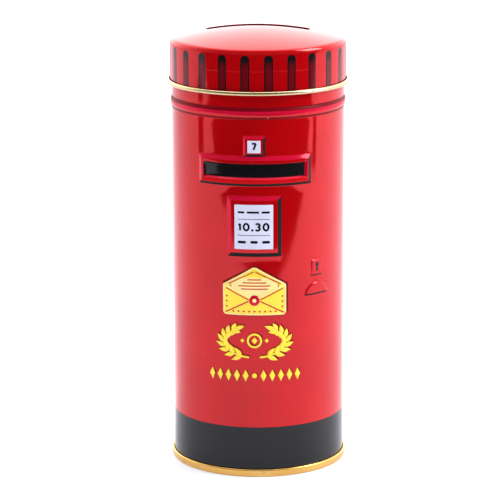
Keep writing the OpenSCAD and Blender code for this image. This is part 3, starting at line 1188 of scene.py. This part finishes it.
class TINBOX_OT_labels(PieceOperator, bpy.types.Operator):
    """White cards with plain figures, rules and bars in place of words"""

    bl_idname = "tinbox.labels"
    bl_label = "Labels"

    def execute(self, context):
        tin = Tin()
        plate = tin.number
        number_low = plate.low + 1.4
        cards = [panel(tin, -2.4, 2.4, number_low, number_low + 4.7, 0.15, LINE)]
        left, right = -7.3, 7.0
        top, tall, margin = tin.collection.high - 3.1, 17, 1.2
        cards.append(panel(tin, left, right, top - tall, top, 0.15, LINE))
        printed("label_cards", cards, "white")

        marks = figures(tin, "7", -1.1, number_low + 0.85, 3.1, 0.72, 0)
        marks += figures(tin, "10.30", left + 1.35, top - 0.597 * tall, 3.3, 0.74, 0.62)
        for share in (0.325, 0.687):
            z = top - share * tall
            marks.append(panel(tin, left + margin, right - margin, z - 0.1, z + 0.1, 0, FIGURE))
        rows = ((0.17, 0.75, (2.5, 4.6, 3.1)), (0.84, 1.0, (3.1, 2.7, 2.9)))
        for share, high, bars in rows:
            low = top - share * tall - high / 2
            gap = (right - left - 2 * margin - sum(bars)) / (len(bars) - 1)
            start = left + margin
            for wide in bars:
                bar = panel(tin, start, start + wide, low, low + high, high / 2.2, FIGURE, step=0.8)
                marks.append(bar)
                start += wide + gap
        printed("label_print", marks, "black")
        return {"FINISHED"}


class TINBOX_OT_emblem(PieceOperator, bpy.types.Operator):
    """Embossed open envelope with a letter in it"""

    bl_idname = "tinbox.emblem"
    bl_label = "Envelope emblem"

    def execute(self, context):
        tin = Tin()
        half, low, top = 12.0, tin.emblem_top - 18.5, tin.emblem_top
        fold, dip, corner = low + 11.6, 5.6, 1.2
        raised = tin.size["shallow"]
        back_lift, letter_lift, line_lift = raised * 0.35, raised * 0.6, raised + LINE
        arc = np.linspace(-half, half, 41)
        away = np.abs(arc) / half

        def sheet(low_z, high_z, lift, columns=arc):
            low_edge = np.stack([columns, np.broadcast_to(low_z, columns.shape)], -1)
            high_edge = np.stack([columns, np.broadcast_to(high_z, columns.shape)], -1)
            return wafer(tin, low_edge, high_edge, 9, lift)

        short = np.clip(corner - (half - np.abs(arc)), 0, None)
        cut = corner - np.sqrt(np.clip(corner**2 - short**2, 0, None))
        roof = fold + (top - fold) * np.clip(1.04 - away * 1.04, 0, 0.985)
        back = sheet(fold - 1.5, np.maximum(roof, fold - 1.4), back_lift)
        inner = np.linspace(-half + 3.0, half - 3.0, 21)
        letter_top = np.minimum(fold + 2.9, fold + (top - fold) * (1 - np.abs(inner) / half) - 1.4)
        letter = sheet(fold - 4.5, letter_top, letter_lift, inner)
        pocket = sheet(low + cut, fold - dip * (1 - away), raised)
        printed("emblem_envelope", [back, pocket], "yellow")
        printed("emblem_letter", [letter], "pale")

        edge, rim = half - 0.3, low + 0.3
        mouth = joined(line_points((-half + 0.4, fold), (0, fold - dip), 20),
                       line_points((0, fold - dip), (half - 0.4, fold), 20))
        sides = joined(
            line_points((-edge, fold), (-edge, low + corner), 10),
            arc_points((-edge + corner, rim + corner), corner, 180, 270, 7),
            line_points((-half + corner + 0.4, rim), (half - corner - 0.4, rim), 26),
            arc_points((edge - corner, rim + corner), corner, -90, 0, 7),
            line_points((edge, low + corner), (edge, fold), 10),
        )
        roof_line = joined(line_points((-edge, fold), (-0.5, top - 0.45), 20),
                           line_points((0.5, top - 0.45), (edge, fold), 20))
        seal = (0, fold - 5.9)
        pale = [stroke(tin, mouth, 0.75, line_lift, 0.14), stroke(tin, sides, 0.6, line_lift, 0.14),
                stroke(tin, roof_line, 0.6, back_lift + 0.04, 0.14),
                disc(tin, seal, 0.75, line_lift + 0.2, 0.12)]
        printed("emblem_edges", pale, "pale")

        dark = [disc(tin, seal, 2.0, line_lift + 0.08, 0.10)]

        def line(start, end, width, lift, count=18):
            dark.append(stroke(tin, line_points(start, end, count), width, lift))

        for side in (-1, 1):
            rail = side * (half - 3.0)
            line((side * (half - 0.9), low + 0.9), (side * 2.2, low + 5.4), 0.5, line_lift)
            line((side * (half - 1.2), fold - 1.3), (side * 2.2, fold - dip), 0.45, line_lift)
            flap, tip = (side * (half - 2.1), fold + 0.35), (side * 0.3, top - 1.75)
            line(flap, tip, 0.42, back_lift + LINE)
            line((rail, fold - 0.9), (rail, fold + 0.3), 0.3, letter_lift + LINE, 8)
        for level, reach in ((2.1, 2.6), (0.9, 4.4), (-0.3, 6.0), (-1.5, 5.0)):
            line((-reach, fold + level), (reach, fold + level), 0.42, letter_lift + LINE, 14)
        for k in range(9):
            dark.append(lozenge(tin, (-8.0 + 2.0 * k, low + 1.45), 1.0, 0.9, line_lift))
        for side in (-1, 1):
            for k in range(3):
                spot = (side * (half - 1.45), low + 3.2 + 2.0 * k)
                dark.append(lozenge(tin, spot, 0.8, 1.1, line_lift))
        printed("emblem_lines", dark, "crimson")

        shadow = joined(line_points((-half - 0.1, fold + 0.55), (0.2, top + 0.35), 24),
                        line_points((0.3, top + 0.35), (half + 0.45, fold + 0.3), 24),
                        line_points((half + 0.35, fold - 0.2), (half + 0.35, low + 0.8), 12))
        printed("emblem_shadow", [stroke(tin, shadow, 0.9, GROUND)], "shade")
        return {"FINISHED"}


class TINBOX_OT_laurels(PieceOperator, bpy.types.Operator):
    """Two laurel sprays with a rosette between them"""

    bl_idname = "tinbox.laurels"
    bl_label = "Laurel sprays"

    def execute(self, context):
        tin = Tin()
        middle, ring_r = (0, tin.spray_low + 7.9), 2.5
        leaves = mirror_pair(spray, tin=tin, lift=RAISED, dome=0.3)
        leaves.append(stroke(tin, circle_path(middle, ring_r), 0.75, RAISED, 0.2, ring=True))
        leaves.append(lozenge(tin, middle, 2.2, 2.6, RAISED, 0.25))
        for side in (-1, 1):
            leaves.append(lozenge(tin, (side * 4.6, middle[1]), 1.5, 1.7, RAISED, 0.2))
        printed("laurel_sprays", leaves, "yellow")
        right, up = 0.3, 0.35
        shadow = mirror_pair(
            spray, tin=tin, lift=GROUND, dome=0.0, offset=(right, up), grow=0.25
        )
        ring = circle_path((right, middle[1] + up), ring_r)
        shadow.append(stroke(tin, ring, 0.9, GROUND, ring=True))
        printed("laurel_shadow", shadow, "shade")
        return {"FINISHED"}


class TINBOX_OT_lozenge_row(PieceOperator, bpy.types.Operator):
    """Row of raised lozenges under the sprays"""

    bl_idname = "tinbox.lozenge_row"
    bl_label = "Lozenge row"

    def execute(self, context):
        tin = Tin()
        z = tin.row_z
        gold, shadow = [], []
        for side in (-1, 1):
            for k in range(5):
                arc = side * (3.4 + 3.35 * k)
                gold.append(lozenge(tin, (arc, z), 2.3, 4.6, RAISED, 0.22))
                shadow.append(lozenge(tin, (arc + 0.3, z + 0.2), 2.5, 4.8, GROUND))
        gold.append(disc(tin, (0, z), 0.95, RAISED, 0.22))
        shadow.append(disc(tin, (0.25, z + 0.2), 1.05, GROUND))
        printed("lozenge_row", gold, "yellow")
        printed("lozenge_shadow", shadow, "shade")
        return {"FINISHED"}


class TINBOX_OT_lock(PieceOperator, bpy.types.Operator):
    """Printed keyhole, and the outlines and shadows of its plate and of the finger pull"""

    bl_idname = "tinbox.lock"
    bl_label = "Keyhole and pull"

    def execute(self, context):
        tin = Tin()
        left, right, low, high = tin.lock.sides()
        middle = tin.lock.middle
        eye = high - 2.1
        stem = line_points((middle, eye - 0.3), (middle, high - 4.7), 8)
        hole = [disc(tin, (middle, eye), 0.85, RAISED),
                stroke(tin, stem, np.linspace(0.5, 1.0, 8), FIGURE)]
        printed("keyhole_print", hole, "black")

        outline = joined(line_points((left, low + 0.3), (left, high), 10),
                         line_points((left + 0.15, high), (right, high), 10))
        right_side = line_points((right, high), (right, low + 0.3), 10)
        centre = (middle, tin.pull_top - tin.pull_r)
        tilt = math.degrees(math.asin((tin.pull_low - centre[1]) / tin.pull_r))
        hood = arc_points(centre, tin.pull_r, 180 - tilt - 1, tilt + 1, 36)
        lines = [stroke(tin, outline, 0.32), stroke(tin, right_side, 0.14), stroke(tin, hood, 0.38)]
        printed("lock_outlines", lines, "crimson")

        reach, edge = PULL_HALF - 0.1, tin.pull_low + 0.05
        plate_foot = line_points((left - 0.1, low), (right + 0.1, low), 12)
        pull_foot = line_points((middle - reach, edge), (middle + reach, edge), 24)
        dark = [stroke(tin, plate_foot, 0.5), stroke(tin, pull_foot, 0.7)]
        printed("lock_shadows", dark, "bevel_black")
        return {"FINISHED"}


# ---------------------------------------------------------------- stage


def stage_sheet(name, outline, z, material, seen=True):
    """A level sheet with an outline of (x, y) in metres.
    One that is not seen only shows in reflections and keeps no light off the floor."""
    mesh = bpy.data.meshes.new(name)
    mesh.from_pydata([(x, y, z) for x, y in outline], [], [tuple(range(len(outline)))])
    mesh.materials.append(material)
    sheet = in_scene(name, mesh)
    sheet.visible_camera = sheet.visible_diffuse = sheet.visible_shadow = seen


def plain_material(name, shade, roughness, glow=0.0):
    """A matt stage material with a faint tooth, which gives off light if glow is set."""
    material = bpy.data.materials.new(name)
    shader = Shader(material)
    tooth = shader.noise(400, 2.0)
    ground = shader.blend(tooth, tuple(part * 0.97 for part in shade), shade)
    shader.finish(
        ground, roughness, tooth, 1e-5, specular_ior_level=0.2,
        emission_color=(1, 1, 1, 1), emission_strength=glow,
    )
    return material


def softbox(name, azimuth, elevation, distance, size, power):
    """A rectangular area light that faces the tin from a direction, in degrees."""
    a, e = math.radians(azimuth), math.radians(elevation)
    back = Vector((math.sin(a) * math.cos(e), -math.cos(a) * math.cos(e), math.sin(e)))
    light = bpy.data.lights.new(name, "AREA")
    light.shape, light.size, light.size_y = "RECTANGLE", size[0], size[1]
    light.energy = power
    lamp = in_scene(name, light)
    lamp.location = Vector((0, 0, 0.09)) + back * distance
    lamp.rotation_mode = "QUATERNION"
    lamp.rotation_quaternion = back.to_track_quat("Z", "Y")
    lamp.visible_camera = False
    return lamp


def studio_room(stage):
    """World light: brighter behind than in front, dark below the table's level, and
    plain white where the camera looks past the floor."""
    world = bpy.data.worlds.new("studio room")
    bpy.context.scene.world = world
    shader = Shader(world)
    way = shader.add("ShaderNodeTexCoord", output="Generated")
    parts = {axis: shader.add("ShaderNodeSeparateXYZ", None, {"Vector": way}, output=axis)
             for axis in "YZ"}
    rise = stage.back_level - stage.front_level
    level = stage.front_level + parts["Y"].between(-0.6, 0.9) * rise
    level = level * parts["Z"].between(-0.03, -0.01)
    seen = shader.add("ShaderNodeLightPath", output="Is Camera Ray")
    level = level * (1 - seen) + seen * 1.05
    room = shader.add("ShaderNodeBackground", None, {"Color": (1, 1, 1), "Strength": level})
    shader.add("ShaderNodeOutputWorld", None, {"Surface": room})


def add_camera(stage):
    """Camera at its place round the tin, aimed, pitched and rolled."""
    data = bpy.data.cameras.new("camera")
    data.sensor_width, data.lens = 36, stage.lens
    data.clip_start, data.clip_end = 0.05, 20
    camera = in_scene("camera", data)
    bpy.context.scene.camera = camera
    turn = stage.azimuth
    away = Vector((math.sin(turn), -math.cos(turn), 0)) * stage.distance
    camera.location = away + Vector((0, 0, stage.height))
    heading = turn + stage.aim
    level = Vector((-math.sin(heading), math.cos(heading), 0))
    ahead = level * math.cos(stage.pitch) - Vector((0, 0, math.sin(stage.pitch)))
    right = Vector((math.cos(heading), math.sin(heading), 0))
    up = right.cross(ahead)
    right, up = (right * math.cos(stage.roll) - up * math.sin(stage.roll),
                 up * math.cos(stage.roll) + right * math.sin(stage.roll))
    camera.rotation_mode = "QUATERNION"
    camera.rotation_quaternion = Matrix((right, up, -ahead)).transposed().to_quaternion()


class TINBOX_OT_stage(bpy.types.Operator):
    """Pale floor, dark cards out of view, soft lights, room and camera"""

    bl_idname = "tinbox.stage"
    bl_label = "Stage"

    def execute(self, context):
        stage = context.scene.tin_stage
        pale = plain_material("pale floor", (0.50, 0.50, 0.565), 0.6, 0.36)
        dark = plain_material("dark card", (0.004, 0.004, 0.004), 0.9)
        stage_sheet("floor", ((-6, -6), (6, -6), (6, 6), (-6, 6)), 0.0, pale)
        # Outlines in metres. Each card darkens one part of the lacquer's reflections.
        front = ((-2, -2), (2, -2), (2, -0.04), (0.78, -0.21), (0.5, -0.255), (0.12, -0.315),
                 (-0.05, -0.36), (-0.4, -0.375), (-2, -0.37))
        left = ((-0.92, -0.25), (-0.64, -0.20), (-0.64, -0.085), (-0.92, -0.10))
        right = ((0.60, -0.14), (0.84, -0.145), (0.84, -0.065), (0.60, -0.075))
        for name, outline in (("front_card", front), ("left_card", left), ("right_card", right)):
            stage_sheet(name, outline, 0.0005, dark, seen=False)
        left_lamp = softbox("left softbox", -53, 45, 1.1, (0.35, 0.5), 5)
        left_lamp.visible_glossy = False
        softbox("right softbox", 82, 36, 1.1, (0.5, 0.6), 13)
        softbox("top softbox", 180, 75, 1.2, (1.2, 1.2), 12)
        studio_room(stage)
        add_camera(stage)
        context.scene.view_settings.view_transform = "Standard"
        return {"FINISHED"}


PIECES = (
    TINBOX_OT_body_tube,
    TINBOX_OT_base_end,
    TINBOX_OT_lid,
    TINBOX_OT_lid_slits,
    TINBOX_OT_foot_band,
    TINBOX_OT_frame_prints,
    TINBOX_OT_bead_bands,
    TINBOX_OT_labels,
    TINBOX_OT_emblem,
    TINBOX_OT_laurels,
    TINBOX_OT_lozenge_row,
    TINBOX_OT_lock,
)


class TINBOX_PT_pieces(bpy.types.Panel):
    """Lists the operators in the sidebar"""

    bl_idname = "TINBOX_PT_pieces"
    bl_label = "Tin money box"
    bl_space_type = "VIEW_3D"
    bl_region_type = "UI"
    bl_category = "Tin box"

    def draw(self, context):
        for operator in (*PIECES, TINBOX_OT_stage):
            self.layout.operator(operator.bl_idname)


CLASSES = (TinSizes, TinColours, StageSettings, *PIECES, TINBOX_OT_stage, TINBOX_PT_pieces)
GROUPS = {"tin_sizes": TinSizes, "tin_colours": TinColours, "tin_stage": StageSettings}


def register():
    for cls in CLASSES:
        bpy.utils.register_class(cls)
    for name, group in GROUPS.items():
        setattr(bpy.types.Scene, name, PointerProperty(type=group))


def unregister():
    for name in GROUPS:
        delattr(bpy.types.Scene, name)
    for cls in reversed(CLASSES):
        bpy.utils.unregister_class(cls)


def main():
    """Registers the classes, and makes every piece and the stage."""
    register()
    for operator in (*PIECES, TINBOX_OT_stage):
        group, name = operator.bl_idname.split(".")
        getattr(getattr(bpy.ops, group), name)()


if __name__ == "__main__":
    main()
